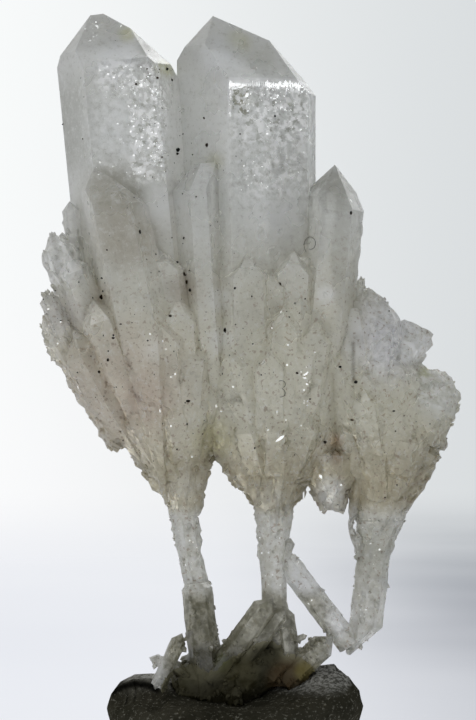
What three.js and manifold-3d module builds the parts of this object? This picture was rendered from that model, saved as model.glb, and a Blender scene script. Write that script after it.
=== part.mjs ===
// A spray of quartz crystals grown together on three slender stalks, with its root pressed into putty.
// Millimetres, +Z up, seen from the -Y side. The origin is the middle of the putty's flat underside.
import * as THREE from "three";
import { ConvexGeometry } from "three/addons/geometries/ConvexGeometry.js";
import { mergeVertices } from "three/addons/utils/BufferGeometryUtils.js";
import Module from "manifold-3d";

const wasm = await Module();
wasm.setup();

// How steep the end faces of an upright quartz crystal stand, in degrees from level.
const CAP_RISE = 51.8;
// The gap kept between the root crystals and the putty around them.
const PUTTY_GAP = 0.3;

// Vertices closer than this are one vertex, and faces that stand out by less than a sliver are left out.
const WELD = 1e-3;
const SLIVER = 0.03;
const UP = new THREE.Vector3(0, 0, 1);

/** Repeatable random numbers from 0 to 1. */
function seededRandom(seed) {
  let state = seed;
  return () => {
    state = (state + 0x6d2b79f5) | 0;
    let t = Math.imul(state ^ (state >>> 15), 1 | state);
    t = (t + Math.imul(t ^ (t >>> 7), 61 | t)) ^ t;
    return ((t ^ (t >>> 14)) >>> 0) / 4294967296;
  };
}

/** A closed geometry as a solid that can be joined and cut. */
function solidOf(geometry) {
  geometry.deleteAttribute("normal");
  geometry.deleteAttribute("uv");
  const merged = mergeVertices(geometry, WELD);
  return new wasm.Manifold(
    new wasm.Mesh({
      numProp: 3,
      vertProperties: new Float32Array(merged.attributes.position.array),
      triVerts: new Uint32Array(merged.index.array),
    }),
  );
}

/** A solid as a geometry with flat faces. */
function geometryOf(solid) {
  const { vertProperties, triVerts, numProp } = solid.getMesh();
  const count = vertProperties.length / numProp;
  const position = new Float32Array(count * 3);
  for (let i = 0; i < count; i++) {
    position.set(vertProperties.subarray(i * numProp, i * numProp + 3), i * 3);
  }
  const geometry = new THREE.BufferGeometry();
  geometry.setAttribute("position", new THREE.BufferAttribute(position, 3));
  geometry.setIndex(new THREE.BufferAttribute(new Uint32Array(triVerts), 1));
  geometry.computeVertexNormals();
  return geometry;
}

/** The largest body of a solid, without inner voids and loose crumbs. */
function mainBody(solid) {
  return solid.decompose().reduce((best, body) => (body.volume() > best.volume() ? body : best));
}

/** A face's outward direction, from its compass angle (0 is +X) and its tilt up from level, in degrees. */
function direction(azimuth, tilt) {
  const a = THREE.MathUtils.degToRad(azimuth);
  const t = THREE.MathUtils.degToRad(tilt);
  return new THREE.Vector3(Math.cos(a) * Math.cos(t), Math.sin(a) * Math.cos(t), Math.sin(t));
}

/** The corners of the space that lies behind all of the planes. */
function cornersOf(planes) {
  const corners = [];
  const cross = new THREE.Vector3();
  for (let i = 0; i < planes.length; i++) {
    for (let j = i + 1; j < planes.length; j++) {
      for (let k = j + 1; k < planes.length; k++) {
        const [a, b, c] = [planes[i], planes[j], planes[k]];
        const volume = a.normal.dot(cross.crossVectors(b.normal, c.normal));
        if (Math.abs(volume) < 1e-6) continue;
        const point = new THREE.Vector3()
          .addScaledVector(new THREE.Vector3().crossVectors(b.normal, c.normal), a.distance)
          .addScaledVector(new THREE.Vector3().crossVectors(c.normal, a.normal), b.distance)
          .addScaledVector(new THREE.Vector3().crossVectors(a.normal, b.normal), c.distance)
          .divideScalar(volume);
        const inside = planes.every((plane) => plane.normal.dot(point) < plane.distance + 1e-5);
        const known = corners.some((corner) => corner.distanceTo(point) < 0.01);
        if (inside && !known) corners.push(point);
      }
    }
  }
  return corners;
}

/** Six equal prism faces, or six equal drops. */
const even = (value) => [value, value, value, value, value, value];

/** The prism faces of a crystal whose front lies nearly level with the larger crystal behind it. */
const flush = (value) => [0.6 * value, value, value, value, value, value];

/**
 * One quartz crystal: a six-sided prism with a pointed top.
 * tip is the top of its axis, and lean is how far the axis moves along X and Y for each millimetre up.
 * sides are the distances of its prism faces from the axis: front, left front, left back, back, right back
 * and right front. drops say how far under the tip the six end faces above them meet the axis: a negative
 * drop makes a smaller end face. turn rotates the front face to the right, in degrees. cuts are further end
 * faces, each with a compass angle from the front face's and a drop. blunt is how far under the tip it is
 * broken off level. taper is the share of its length, from its foot up, over which it widens from a point.
 * An upsideDown crystal points down. grow moves every face outwards.
 */
function crystal(spec, grow = 0) {
  const { tip, lean = [0, 0], turn = 0, sides, drops = even(0), length } = spec;
  const { cuts = [], blunt, taper, upsideDown } = spec;
  const planes = [];
  const face = (azimuth, tilt, distance) => {
    planes.push({ normal: direction(azimuth, tilt), distance: distance + grow });
  };
  const capTilt = 90 - CAP_RISE;
  const alongAxis = Math.sin(THREE.MathUtils.degToRad(capTilt));
  const front = turn - 90;
  sides.forEach((side, i) => {
    face(front - 60 * i, 0, side);
    face(front - 60 * i, capTilt, -drops[i] * alongAxis);
  });
  for (const cut of cuts) face(front + cut.azimuth, capTilt, -cut.drop * alongAxis);
  face(0, -90, length);
  if (blunt) face(0, 90, -blunt);
  if (taper) {
    sides.forEach((side, i) => {
      const rise = Math.atan2(taper * length, side);
      face(front - 60 * i, THREE.MathUtils.radToDeg(rise) - 90, length * Math.cos(rise));
    });
  }
  const axis = new THREE.Vector3(lean[0], lean[1], 1).normalize();
  const tilted = new THREE.Quaternion().setFromUnitVectors(UP, axis);
  const place = new THREE.Matrix4().makeRotationFromQuaternion(tilted).setPosition(...tip);
  if (upsideDown) place.multiply(new THREE.Matrix4().makeRotationX(Math.PI));
  const corners = cornersOf(planes).map((corner) => corner.applyMatrix4(place));
  return solidOf(new ConvexGeometry(corners));
}

/** A level slice of a mass: its height, and how far it reaches to the left, right, front and back. */
function slice(z, left, right, front, back) {
  const [x, y] = [(left + right) / 2, (front + back) / 2];
  return { z, x, y, rx: (right - left) / 2, ry: (back - front) / 2 };
}

/** A level slice of a stalk: its height, middle and thickness. */
function ring(z, x, y, thickness) {
  return { z, x, y, rx: thickness / 2, ry: thickness / 2 };
}

/** The point of a slice at an angle, in degrees from +X. */
function onSlice(section, angle, scale = 1) {
  const a = THREE.MathUtils.degToRad(angle);
  const [across, deep] = [section.rx * scale, section.ry * scale];
  return [section.x + across * Math.cos(a), section.y + deep * Math.sin(a), section.z];
}

/**
 * A closed skin over slices stacked from the bottom up. unevenness is how far a corner may stand in or out,
 * as a share of its distance from the middle, and grow moves the skin outwards.
 */
function loft(sections, corners, { unevenness = 0, seed = 1, grow = 0 } = {}) {
  const random = seededRandom(seed);
  const bumps = Array.from({ length: corners }, () => 1 + unevenness * (random() - 0.5));
  const position = [];
  for (const section of sections) {
    for (let i = 0; i < corners; i++) {
      const bump = bumps[i] * (1 + 0.5 * unevenness * (random() - 0.5)) + grow / section.rx;
      position.push(...onSlice(section, (360 * i) / corners, bump));
    }
  }
  const [bottom, top] = [sections[0], sections[sections.length - 1]];
  const bottomMiddle = position.length / 3;
  position.push(bottom.x, bottom.y, bottom.z, top.x, top.y, top.z);
  const index = [];
  const topStart = corners * (sections.length - 1);
  for (let i = 0; i < corners; i++) {
    const next = (i + 1) % corners;
    index.push(bottomMiddle, next, i, bottomMiddle + 1, topStart + i, topStart + next);
    for (let row = 0; row < topStart; row += corners) {
      index.push(row + i, row + next, row + corners + next, row + i, row + corners + next, row + corners + i);
    }
  }
  const geometry = new THREE.BufferGeometry();
  geometry.setAttribute("position", new THREE.Float32BufferAttribute(position, 3));
  geometry.setIndex(index);
  return solidOf(geometry);
}

/** The slice of a mass at any height between its lowest and highest. */
function sliceAt(sections, z) {
  const above = Math.max(1, sections.findIndex((section) => section.z >= z));
  const [low, high] = [sections[above - 1], sections[above]];
  const share = (z - low.z) / (high.z - low.z);
  const mix = (key) => THREE.MathUtils.lerp(low[key], high[key], share);
  return { z, x: mix("x"), y: mix("y"), rx: mix("rx"), ry: mix("ry") };
}

// The two large crystals at the top. The left one leans a little to the left, the right one stands upright.
const SPIRES = [
  {
    tip: [-15.5, 0.8, 87.5],
    lean: [-0.1, 0],
    sides: [4.96, 4.9, 5.9, 5, 7.6, 7.4],
    drops: [0, -1.7, -1.7, 0, 0, -2.3],
    length: 42,
  },
  {
    tip: [-2.3, 0.5, 87.2],
    turn: 15,
    sides: [6.8, 3, 4.2, 5, 8.8, 11.9],
    drops: [0, 0, 0, 0, -5.5, -5.5],
    length: 46,
    cuts: [{ azimuth: 138.6, drop: 0 }],
  },
];

// The middle-sized crystals that stand in front of the spires, from left to right.
const FRONT_CRYSTALS = [
  {
    tip: [-16.2, -4.7, 68.4],
    lean: [-0.21, -0.04],
    turn: -10,
    sides: [3.2, 2, 2, 4, 4.5, 5],
    drops: [0, -0.3, 0, 0, 0, -1.5],
    length: 41,
    taper: 0.5,
  },
  { tip: [-16.4, -5.6, 53], lean: [-0.36, -0.2], sides: even(2), length: 24, taper: 0.6 },
  { tip: [-18.8, -3.6, 49.4], lean: [-0.52, -0.16], turn: 20, sides: even(2.3), length: 20, taper: 0.5 },
  { tip: [-8.6, -4.9, 59.2], lean: [-0.12, -0.08], sides: flush(2.3), length: 30, taper: 0.6 },
  { tip: [-6.4, -5.4, 53.3], lean: [-0.04, -0.14], sides: flush(2.2), length: 25, taper: 0.6 },
  {
    tip: [-3, -3.4, 71],
    lean: [-0.07, -0.05],
    sides: [3.8, 3.9, 3.7, 4, 1.4, 1.6],
    length: 37,
    blunt: 1.8,
    taper: 0.4,
  },
  { tip: [1.7, -5.6, 58.4], lean: [-0.05, -0.06], sides: flush(2.1), length: 30, taper: 0.6 },
  { tip: [4.7, -4.9, 56.4], lean: [0, -0.06], sides: flush(1.6), length: 28, taper: 0.6 },
  { tip: [6.3, -6.2, 51.2], lean: [0.04, -0.12], sides: flush(1.8), length: 25, taper: 0.6 },
  { tip: [7.4, -4.3, 58.8], lean: [0.06, -0.06], sides: flush(2.2), length: 30, taper: 0.6 },
  { tip: [10, -5.2, 50.6], lean: [0.16, -0.12], sides: flush(2), length: 24, taper: 0.6 },
  {
    tip: [12.3, -1.4, 69.2],
    lean: [0.09, -0.03],
    sides: [4.4, 3.2, 2.5, 4, 2.5, 4.2],
    length: 40,
    taper: 0.5,
  },
];

// The crystals on the left flank, which lean further out the lower they stand.
const LEFT_CRYSTALS = [
  { tip: [-19.5, 0, 64.9], lean: [-0.12, 0], sides: even(0.9), length: 14 },
  { tip: [-20.5, 1.6, 61.3], lean: [-0.2, 0], sides: even(1.2), length: 12 },
  { tip: [-19.4, -3.4, 58.4], lean: [-0.36, -0.1], sides: even(1.7), length: 20 },
  { tip: [-21.6, -0.6, 61.2], lean: [-0.36, 0], sides: even(1.86), length: 14 },
  { tip: [-22.3, -2, 54.2], lean: [-0.42, 0], sides: even(1), length: 9 },
  { tip: [-22.1, 1.4, 52.4], lean: [-0.3, 0], sides: even(1.45), length: 6.5 },
  { tip: [-21.7, -0.5, 51], lean: [-0.6, 0], sides: even(1.95), length: 17 },
];

// The crystals on the right flank. The outer two end in a level ridge.
const RIGHT_CRYSTALS = [
  { tip: [15.4, -1.5, 55.9], lean: [0.04, 0], sides: even(0.45), length: 10 },
  {
    tip: [16.2, -3, 54.6],
    lean: [0.07, -0.1],
    turn: 8,
    sides: [3.8, 1.4, 1.6, 3.5, 3.6, 4],
    drops: [0, 0, 0, 0, 0, -1.4],
    length: 30,
    taper: 0.6,
  },
  {
    tip: [22.4, 0.5, 50],
    lean: [0.44, 0],
    sides: [2.6, 2.4, 2.4, 2.6, 1.9, 1.9],
    drops: [0, -2, -2, 0, -2.2, -2.2],
    length: 12,
  },
  {
    tip: [24.5, -0.5, 44.5],
    lean: [0.36, 0],
    sides: [3, 2.6, 2.6, 3, 3.4, 3.4],
    drops: [0, -2.2, -2.2, 0, -2.2, -2.2],
    length: 8.5,
  },
  { tip: [25.2, 1, 38.6], lean: [0.5, 0.1], sides: even(1.3), length: 8 },
  { tip: [24.4, -1.6, 36], lean: [0.55, -0.2], sides: even(1.1), length: 7 },
  { tip: [23.3, 0.2, 33], lean: [0.6, 0], sides: even(0.9), length: 6 },
];

// The stalks, from the bottom up.
const LEFT_STALK = [
  ring(7, -2.4, 0.6, 3.4),
  ring(11, -2.9, 0.6, 3.2),
  ring(14.6, -3.5, 0.5, 3.1),
  ring(17, -4, 0.5, 3),
  ring(19.4, -4.4, 0.4, 3.1),
  ring(21.8, -4.9, 0.3, 2.9),
  ring(24.2, -5.3, 0.2, 3.1),
  ring(27.8, -5.8, 0.2, 3.3),
];
const MIDDLE_STALK = [
  ring(7, 5.4, 0, 5.2),
  ring(10, 5.4, 0, 4.8),
  ring(12.4, 5.4, -0.2, 4.2),
  ring(14.6, 5.2, -0.3, 3.5),
  ring(17, 5, -0.3, 3.1),
  ring(19.4, 5, -0.4, 3.1),
  ring(21.8, 4.9, -0.4, 3.4),
  ring(24.2, 4.9, -0.4, 3.7),
  ring(27.8, 5, -0.4, 4.8),
];
const RIGHT_STALK = [
  ring(15.6, 16.2, 0.2, 3.9),
  ring(17, 16.4, 0.2, 4),
  ring(19.4, 16.6, 0.2, 4.1),
  ring(21.8, 16.8, 0.2, 4.1),
  ring(23, 16.9, 0.2, 4.4),
  ring(24.8, 17.3, 0.2, 5),
  ring(26.6, 17.7, 0.2, 6),
];

// The masses of grown-together crystal that the stalks widen into, from the bottom up.
const MASSES = {
  left: [
    slice(27, -7.4, -4.2, -1.4, 1.8),
    slice(29, -8, -3.6, -1.9, 2.4),
    slice(30.8, -8.9, -3.4, -2.5, 3.2),
    slice(32.6, -10.1, -3.1, -3.2, 4.2),
    slice(34.4, -11.5, -2.3, -3.8, 5.2),
    slice(38.6, -14.2, 0, -5, 7),
    slice(42.2, -16.6, 0.5, -5.8, 8.2),
    slice(46.2, -18.4, 0.5, -6.2, 9),
    slice(50, -19, -0.5, -6.2, 9),
    slice(57, -18, -4, -4.8, 7),
    slice(64, -15, -6, -2.8, 6),
  ],
  middle: [
    slice(26.6, 2.8, 7.2, -2.2, 1.6),
    slice(28.1, 2.5, 7.4, -2.7, 2.2),
    slice(29.3, 1.8, 8.1, -3.2, 3),
    slice(30.8, 0.6, 8.8, -3.7, 4),
    slice(32.6, -0.8, 10.4, -4.2, 5.2),
    slice(34.8, -2, 12.5, -4.8, 6.4),
    slice(38, -4, 14, -5.6, 7.8),
    slice(42, -4.6, 14.8, -6.2, 9),
    slice(46, -4.6, 14.8, -6.4, 9.6),
    slice(50, -4, 14.2, -6, 9),
    slice(58, -1, 13, -4.2, 6),
  ],
  right: [
    slice(25.4, 15, 19.9, -2, 2.4),
    slice(27.2, 14.9, 20.9, -2.5, 3.2),
    slice(29.6, 14.5, 21.6, -3.1, 4.2),
    slice(31.4, 13.6, 22.8, -3.6, 5.2),
    slice(33.8, 12.6, 24, -4.2, 6.4),
    slice(36.2, 11.4, 24.8, -4.8, 7.2),
    slice(39.8, 10.2, 25, -5.2, 7.6),
    slice(43.4, 9.6, 23.6, -5, 7.4),
    slice(47, 9.8, 20.4, -4.6, 6),
    slice(52, 12, 17.5, -3.6, 4),
  ],
  // The ragged lump that hangs between the middle and the right stalk.
  hanging: [
    slice(28, 11.3, 13.5, -1.4, 1),
    slice(28.8, 10.4, 13.8, -1.9, 1.4),
    slice(30, 9.5, 13.9, -2.6, 2),
    slice(31.6, 8.8, 15, -3.6, 3),
    slice(34.5, 8, 16, -4.4, 4.4),
  ],
};
const MASS_CORNERS = 10;
// How deep the tip and the foot of a seeded crystal lie in from the skin of its mass, in radii.
const TIP_DEPTH = 0.3;
const FOOT_DEPTH = 0.9;
const SEEDED_TAPER = 0.3;
const STALK_CORNERS = 7;

// The right stalk hangs free of the ground and ends in a point. A strut runs from it up to the middle stalk.
const STALK_POINT = {
  tip: [14.2, 0.2, 10.4],
  lean: [0.12, 0],
  sides: [1.9, 0.5, 0.55, 1.9, 2.9, 3],
  drops: [0, -0.4, -0.4, 0, 0, 0],
  length: 8,
  upsideDown: true,
};
const STRUT = { tip: [5.5, -0.2, 22.9], lean: [-0.77, 0], sides: even(1.25), length: 14.2 };
const TWIG = { tip: [14.2, -0.8, 25.8], lean: [-0.35, -0.1], sides: even(0.32), length: 3.4 };

// The seeded crystals that cover the masses: the heights and compass angles where a spray has its tips, the
// least and greatest length and radius of its crystals, and its seed.
const SPRAYS = [
  { mass: "left", z: [54, 57], angles: [20, 180], count: 4, length: [12, 15], radius: [2.2, 3], seed: 21 },
  { mass: "middle", z: [53, 57], angles: [0, 180], count: 5, length: [12, 15], radius: [2.2, 3], seed: 22 },
  { mass: "right", z: [45, 51], angles: [0, 170], count: 5, length: [9, 12], radius: [2, 2.8], seed: 23 },
  { mass: "left", z: [42, 50], angles: [10, 190], count: 5, length: [9, 12], radius: [2, 2.8], seed: 24 },
  { mass: "middle", z: [41, 49], angles: [20, 160], count: 5, length: [9, 12], radius: [2, 2.8], seed: 25 },
  { mass: "right", z: [37, 42], angles: [10, 190], count: 5, length: [8, 11], radius: [1.8, 2.4], seed: 26 },
  { mass: "left", z: [47, 55], angles: [205, 340], count: 7, length: [17, 20], radius: [2.4, 3], seed: 31 },
  { mass: "middle", z: [47, 54], angles: [200, 345], count: 8, length: [16, 19], radius: [2.3, 3], seed: 32 },
  { mass: "right", z: [43, 48], angles: [200, 350], count: 6, length: [14, 16], radius: [2, 2.6], seed: 33 },
  { mass: "left", z: [39, 44], angles: [200, 345], count: 5, length: [9, 11], radius: [1.6, 2], seed: 34 },
  { mass: "middle", z: [39, 44], angles: [200, 340], count: 5, length: [9, 11], radius: [1.6, 2], seed: 35 },
  { mass: "right", z: [35, 39], angles: [200, 350], count: 4, length: [8, 9], radius: [1.4, 1.8], seed: 36 },
  { mass: "left", z: [33, 37], angles: [0, 360], count: 6, length: [4, 5.5], radius: [0.9, 1.3], seed: 37 },
  { mass: "middle", z: [32, 37], angles: [0, 360], count: 6, length: [4, 5.5], radius: [0.9, 1.3], seed: 38 },
  { mass: "right", z: [30, 34], angles: [0, 360], count: 5, length: [4, 5], radius: [0.8, 1.2], seed: 39 },
];

/**
 * Seeded crystals that lie along a mass. Their tips are on its outside, between two heights and two compass
 * angles, and their feet narrow to a point under its skin.
 */
function spray(sections, { z, angles, count, length, radius, seed }) {
  const random = seededRandom(seed);
  const between = ([low, high]) => THREE.MathUtils.lerp(low, high, random());
  return Array.from({ length: count }, (unused, i) => {
    const angle = THREE.MathUtils.lerp(...angles, (i + 0.7 * random()) / count);
    const top = between(z);
    const long = between(length);
    const thick = between(radius);
    const underSkin = (height, depth) => {
      const section = sliceAt(sections, Math.max(height, sections[0].z));
      const skin = new THREE.Vector3(...onSlice(section, angle));
      const middle = new THREE.Vector3(section.x, section.y, section.z);
      return skin.add(middle.sub(skin).setLength(depth * thick));
    };
    const tip = underSkin(top, TIP_DEPTH);
    const reach = tip.clone().sub(underSkin(top - long, FOOT_DEPTH));
    return {
      tip: tip.toArray(),
      lean: [reach.x / reach.z, reach.y / reach.z],
      turn: 60 * random(),
      sides: even(thick),
      drops: [0, -thick * random(), 0, -thick * random(), 0, -thick * random()],
      length: reach.length(),
      taper: SEEDED_TAPER,
    };
  });
}

// Short crystals of the crust on the stalks and on the hanging lump.
const STALK_CRYSTALS = [
  { tip: [7, -1.2, 24.6], lean: [0.2, -0.1], sides: even(0.5), length: 3 },
  { tip: [14.9, -1.2, 25.4], lean: [-0.2, -0.1], sides: even(0.6), length: 3 },
  { tip: [19.6, -0.6, 26.4], lean: [0.3, 0], sides: even(0.6), length: 3.4 },
  { tip: [-3.6, -0.6, 30.6], lean: [0.3, 0], sides: even(0.6), length: 3.4 },
  { tip: [12.6, -1.4, 27.4], lean: [-0.1, 0.2], sides: even(0.8), length: 4, upsideDown: true },
  { tip: [10.6, -1.8, 28.6], lean: [0.2, 0.2], sides: even(0.7), length: 4, upsideDown: true },
];

// The dark root crystals that the stalks rise from, half sunk in the putty.
const ROOT_MASS = [
  slice(4.2, -4.2, 2, -3.6, 2.6),
  slice(6, -7, 4.6, -4.8, 3.8),
  slice(8, -7.4, 8, -5, 4.2),
  slice(9.8, -6.2, 9, -4.6, 3.8),
  slice(11.4, -4.8, 7.4, -3.4, 2.6),
];
const ROOT_CRYSTALS = [
  { tip: [-4.4, -2.7, 20.7], lean: [-0.11, 0], sides: even(1.6), length: 15, blunt: 1.4 },
  { tip: [4.9, -3.3, 17.7], lean: [0.73, 0], sides: even(1.35), length: 12.5 },
  { tip: [6.3, -3, 16.4], lean: [0.75, 0.05], sides: even(0.9), length: 11 },
  { tip: [6.2, -1.6, 16.6], lean: [-0.12, 0], sides: even(1), length: 10 },
  { tip: [9, -1.5, 13], lean: [2.6, 0], sides: even(0.32), length: 4 },
  { tip: [12.1, -1.8, 12.9], lean: [1.1, 0], sides: even(1.35), length: 8 },
  { tip: [-5.9, -4, 13.5], lean: [0.45, -0.1], sides: even(0.8), length: 7 },
  { tip: [-9.9, -1.6, 10.3], lean: [-3, 0], sides: even(0.62), length: 5 },
  { tip: [-7.4, -3, 10], lean: [-1.2, -0.1], sides: even(0.6), length: 4 },
  { tip: [0.5, -5.4, 7.4], lean: [0.1, -0.5], sides: even(0.7), length: 4 },
];

// The crust of the root, of short clear crystals that point all ways.
const ROOT_SPRAY = { z: [8, 11], angles: [0, 360], count: 7, length: [2.5, 4], radius: [0.6, 1], seed: 51 };

/** The solid pieces of the root, which are grown a little to cut their place in the putty. */
function rootPieces(grow = 0) {
  const stalks = [LEFT_STALK, MIDDLE_STALK].map((stalk, i) => {
    return loft(stalk, STALK_CORNERS, { unevenness: 0.1, seed: i + 1, grow });
  });
  const mass = loft(ROOT_MASS, MASS_CORNERS, { unevenness: 0.15, seed: 8, grow });
  const crystals = [...ROOT_CRYSTALS, ...spray(ROOT_MASS, ROOT_SPRAY)].map((spec) => crystal(spec, grow));
  return [...stalks, mass, ...crystals];
}

/** All the quartz, grown together. */
function quartzSolid() {
  const masses = [
    [RIGHT_STALK, STALK_CORNERS, 0.1],
    [MASSES.left, MASS_CORNERS, 0.12],
    [MASSES.middle, MASS_CORNERS, 0.12],
    [MASSES.right, MASS_CORNERS, 0.12],
    [MASSES.hanging, MASS_CORNERS, 0.2],
  ].map(([sections, corners, unevenness], i) => loft(sections, corners, { unevenness, seed: i + 3 }));
  const seeded = SPRAYS.flatMap((plan) => spray(MASSES[plan.mass], plan));
  const placed = [...SPIRES, ...FRONT_CRYSTALS, ...LEFT_CRYSTALS, ...RIGHT_CRYSTALS];
  const low = [STALK_POINT, STRUT, TWIG, ...STALK_CRYSTALS];
  const crystals = [...placed, ...low, ...seeded].map((spec) => crystal(spec));
  const joined = wasm.Manifold.union([...masses, ...crystals, ...rootPieces()]);
  return mainBody(joined.simplify(SLIVER));
}

// The putty: half its width and depth, and how its outline closes in under and over its widest level.
const PUTTY_HALF_WIDTH = 15.2;
const PUTTY_HALF_DEPTH = 12.4;
const PUTTY_CORNERS = 28;
// Rings from the middle of the underside, round the edge, to the middle of the top: a share of the outline,
// a share of the height at that place, and how much the seeded lumps show there.
const PUTTY_RINGS = [
  { out: 0.45, up: 0, lumps: 0 },
  { out: 0.8, up: 0, lumps: 0.4 },
  { out: 0.9, up: 0.1, lumps: 0.8 },
  { out: 0.97, up: 0.32, lumps: 1 },
  { out: 1, up: 0.58, lumps: 1 },
  { out: 0.975, up: 0.8, lumps: 1 },
  { out: 0.91, up: 0.94, lumps: 1 },
  { out: 0.8, up: 1, lumps: 1 },
  { out: 0.62, up: 1, lumps: 1 },
  { out: 0.42, up: 1, lumps: 1 },
  { out: 0.2, up: 1, lumps: 1 },
];
// The swellings of its top: where each is, how wide, and how far it rises over the low middle.
const PUTTY_TOP = 5.6;
const PUTTY_SWELLINGS = [
  { at: [11.4, 0], width: 5.2, rise: 3.9 },
  { at: [-11, 1.5], width: 5, rise: 2.2 },
  { at: [0, 7.5], width: 7, rise: 3.4 },
  { at: [1.5, -7], width: 5.5, rise: -0.9 },
];

/** The height of the putty's top at a place. */
function puttyTop(x, y) {
  return PUTTY_SWELLINGS.reduce((height, { at, width, rise }) => {
    const distance = Math.hypot(x - at[0], y - at[1]) / width;
    return height + rise * Math.exp(-distance * distance);
  }, PUTTY_TOP);
}

/** The lump of putty as pressed down by hand, before the root's place is cut out of it. */
function puttyBlank() {
  const random = seededRandom(61);
  const waves = Array.from({ length: 5 }, (unused, i) => ({ turns: i + 2, phase: 2 * Math.PI * random() }));
  const position = [0, 0, 0];
  PUTTY_RINGS.forEach(({ out, up, lumps }, row) => {
    for (let i = 0; i < PUTTY_CORNERS; i++) {
      const angle = (2 * Math.PI * i) / PUTTY_CORNERS;
      const swell = waves.map(({ turns, phase }) => Math.cos(turns * angle + phase + 0.4 * row));
      const reach = out * (1 + 0.014 * lumps * swell.reduce((sum, wave) => sum + wave));
      const x = PUTTY_HALF_WIDTH * reach * Math.sign(Math.cos(angle)) * Math.abs(Math.cos(angle)) ** 0.86;
      const y = PUTTY_HALF_DEPTH * reach * Math.sign(Math.sin(angle)) * Math.abs(Math.sin(angle)) ** 0.86;
      const height = up === 0 ? 0 : puttyTop(x, y) * up + 0.25 * lumps * (random() - 0.5);
      position.push(x, y, height);
    }
  });
  position.push(0, 0, puttyTop(0, 0));
  const last = position.length / 3 - 1;
  const index = [];
  const topRow = 1 + PUTTY_CORNERS * (PUTTY_RINGS.length - 1);
  for (let i = 0; i < PUTTY_CORNERS; i++) {
    const next = (i + 1) % PUTTY_CORNERS;
    index.push(0, 1 + next, 1 + i, last, topRow + i, topRow + next);
    for (let row = 1; row < topRow; row += PUTTY_CORNERS) {
      const above = row + PUTTY_CORNERS;
      index.push(row + i, row + next, above + next, row + i, above + next, above + i);
    }
  }
  const geometry = new THREE.BufferGeometry();
  geometry.setAttribute("position", new THREE.Float32BufferAttribute(position, 3));
  geometry.setIndex(index);
  return solidOf(geometry);
}

/** The putty, with the root's place pressed into it. */
function puttySolid() {
  return mainBody(puttyBlank().subtract(wasm.Manifold.union(rootPieces(PUTTY_GAP))));
}

/** A named mesh of a solid with its own material. */
function part(name, solid, material) {
  const look = new THREE.MeshStandardMaterial({ flatShading: true, ...material });
  const mesh = new THREE.Mesh(geometryOf(solid), look);
  mesh.name = name;
  return mesh;
}

const specimen = new THREE.Group();
specimen.add(part("quartz_cluster", quartzSolid(), { color: 0xc9c8c2, roughness: 0.35, metalness: 0 }));
specimen.add(part("putty_base", puttySolid(), { color: 0x3a3b36, roughness: 0.9, metalness: 0 }));

export default specimen;
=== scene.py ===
"""A spray of milky quartz crystals on slender stalks, its root pressed into a lump of dark putty.

The camera sees it level from the front. Everything is in metres, +Z is up and the front is -Y. MM turns
millimetres into metres. What lies on the front is placed by columns and rows of the photo's pixels.
"""

import math
import random

import bmesh
import bpy
import numpy as np
from mathutils import Matrix, Vector, noise
from mathutils.bvhtree import BVHTree


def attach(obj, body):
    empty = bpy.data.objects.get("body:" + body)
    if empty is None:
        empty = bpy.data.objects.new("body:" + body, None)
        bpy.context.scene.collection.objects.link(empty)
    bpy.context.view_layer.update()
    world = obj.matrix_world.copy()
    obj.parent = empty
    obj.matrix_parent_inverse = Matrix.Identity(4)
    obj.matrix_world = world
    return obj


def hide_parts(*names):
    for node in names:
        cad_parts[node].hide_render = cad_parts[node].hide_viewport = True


MM = 0.001

# The size of the photo's pixels, and the pixel column and row of the model's X = 0 and Z = 0.
PIXEL = 0.12 * MM
ZERO_COLUMN = 232
ZERO_ROW = 742
PHOTO_CENTRE = (238, 360)
PHOTO_HEIGHT = 720

# The camera looks level from this far in front. Its lens fills the picture at the photo's scale.
CAMERA_DISTANCE = 300 * MM
CAMERA_SENSOR = 36.0
CAMERA_NEAREST = 10 * MM

# The share of its radius over which a round patch of a material is at full strength.
FULL_CORE = 0.2


def spot(column, row):
    """The X and Z of a pixel of the photo on the plane Y = 0."""
    return (column - ZERO_COLUMN) * PIXEL, (ZERO_ROW - row) * PIXEL


def box_sides(left, top, right, bottom):
    """The low and high X, and the low and high Z, of a box of the front view with its sides in pixels."""
    low_x, low_z = spot(left, bottom)
    high_x, high_z = spot(right, top)
    return (low_x, high_x), (low_z, high_z)


def rgb(red, green, blue):
    """A screen colour, 0 to 255, as a linear one."""

    def linear(value):
        share = value / 255
        return share / 12.92 if share <= 0.04045 else ((share + 0.055) / 1.055) ** 2.4

    return (linear(red), linear(green), linear(blue), 1.0)


def smooth(values):
    """Ease numbers or arrays from 0 to 1, and clamp them."""
    values = np.clip(values, 0, 1)
    return values * values * (3 - 2 * values)


def add_object(name, mesh, material):
    """Put a finished mesh into the scene as a piece that rides on the one body."""
    piece = bpy.data.objects.new(name, mesh)
    bpy.context.scene.collection.objects.link(piece)
    mesh.materials.clear()
    mesh.materials.append(material)
    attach(piece, "root")
    return piece


def mesh_from(name, builder):
    """Turn a bmesh into a mesh with flat faces."""
    mesh = bpy.data.meshes.new(name)
    builder.to_mesh(mesh)
    builder.free()
    mesh.shade_flat()
    return mesh


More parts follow.
